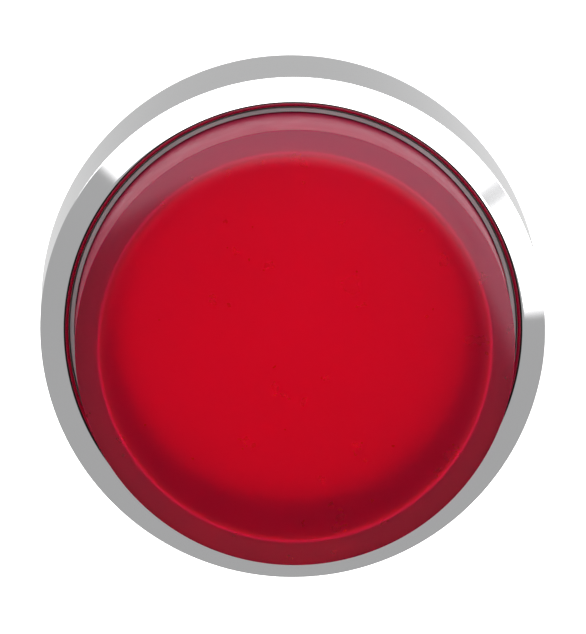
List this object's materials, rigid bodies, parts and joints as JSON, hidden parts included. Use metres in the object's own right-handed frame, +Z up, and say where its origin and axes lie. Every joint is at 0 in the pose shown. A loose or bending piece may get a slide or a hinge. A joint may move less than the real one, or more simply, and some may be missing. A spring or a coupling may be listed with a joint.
{
  "type": "illuminated push button",
  "caption": "Momentary panel push button with a red projecting illuminated lens, a chromed bezel, a threaded barrel with a ring nut, and solder lugs at the back.",
  "frame": {"origin": "on the button's axis, in the plane of the panel's front face", "axes": "+Y runs back through the panel, the button faces -Y, +Z is up"},
  "size_m": [0.029, 0.0524, 0.029],
  "materials": {
    "chrome": "polished chrome plate",
    "red_lens": "translucent red polycarbonate, glossy",
    "white_diffuser": "milky white polycarbonate",
    "black_rubber": "moulded black rubber",
    "cast_zinc": "die-cast zinc, as cast",
    "black_plastic": "moulded black nylon",
    "white_plastic": "moulded white polycarbonate",
    "plated_steel": "zinc-plated steel",
    "spring_steel": "bright drawn spring wire",
    "brass": "stamped brass strip",
    "board": "green solder mask on glass-fibre board",
    "lamp": "clear red epoxy",
    "resistor": "tan lacquer"
  },
  "bodies": {
    "body": {"bezel": "chrome", "wiper_seal": "black_rubber", "panel_gasket": "black_rubber", "head_body": "cast_zinc", "lock_washer": "plated_steel", "ring_nut": "black_plastic", "return_spring": "spring_steel", "no_terminal_upper": "brass", "no_terminal_lower": "brass", "nc_terminal_upper": "brass", "nc_terminal_lower": "brass", "terminal_base": "black_plastic", "base_screw_upper": "plated_steel", "base_screw_lower": "plated_steel", "lamp_holder": "white_plastic", "led_board": "board", "led_lamp": "lamp", "led_resistor": "resistor", "lamp_terminal_upper": "brass", "lamp_terminal_lower": "brass"},
    "button": {"lens_cap": "red_lens", "diffuser": "white_diffuser", "pusher": "black_plastic", "retaining_clip": "spring_steel", "contact_carrier": "black_plastic"},
    "no_bridge": {"no_contact_bridge": "brass", "no_contact_spring": "spring_steel"},
    "nc_bridge": {"nc_contact_bridge": "brass", "nc_contact_spring": "spring_steel"}
  },
  "joints": [
    {"name": "push", "type": "slide", "parent": "body", "child": "button", "axis": [0, 1, 0], "range_m": [0, 0.0035], "stiffness_N_per_m": 800, "springref_m": -0.004, "deforming": ["return_spring"]},
    {"name": "no_bridge_travel", "type": "slide", "parent": "body", "child": "no_bridge", "axis": [0, 1, 0], "range_m": [0, 0.0021], "deforming": ["no_contact_spring"]},
    {"name": "nc_bridge_travel", "type": "slide", "parent": "body", "child": "nc_bridge", "axis": [0, 1, 0], "range_m": [0, 0.0021], "deforming": ["nc_contact_spring"]}
  ],
  "couplings": [
    {"joint": "no_bridge_travel", "follows": "push", "ratio": 0.6},
    {"joint": "nc_bridge_travel", "follows": "push", "ratio": 0.6}
  ]
}
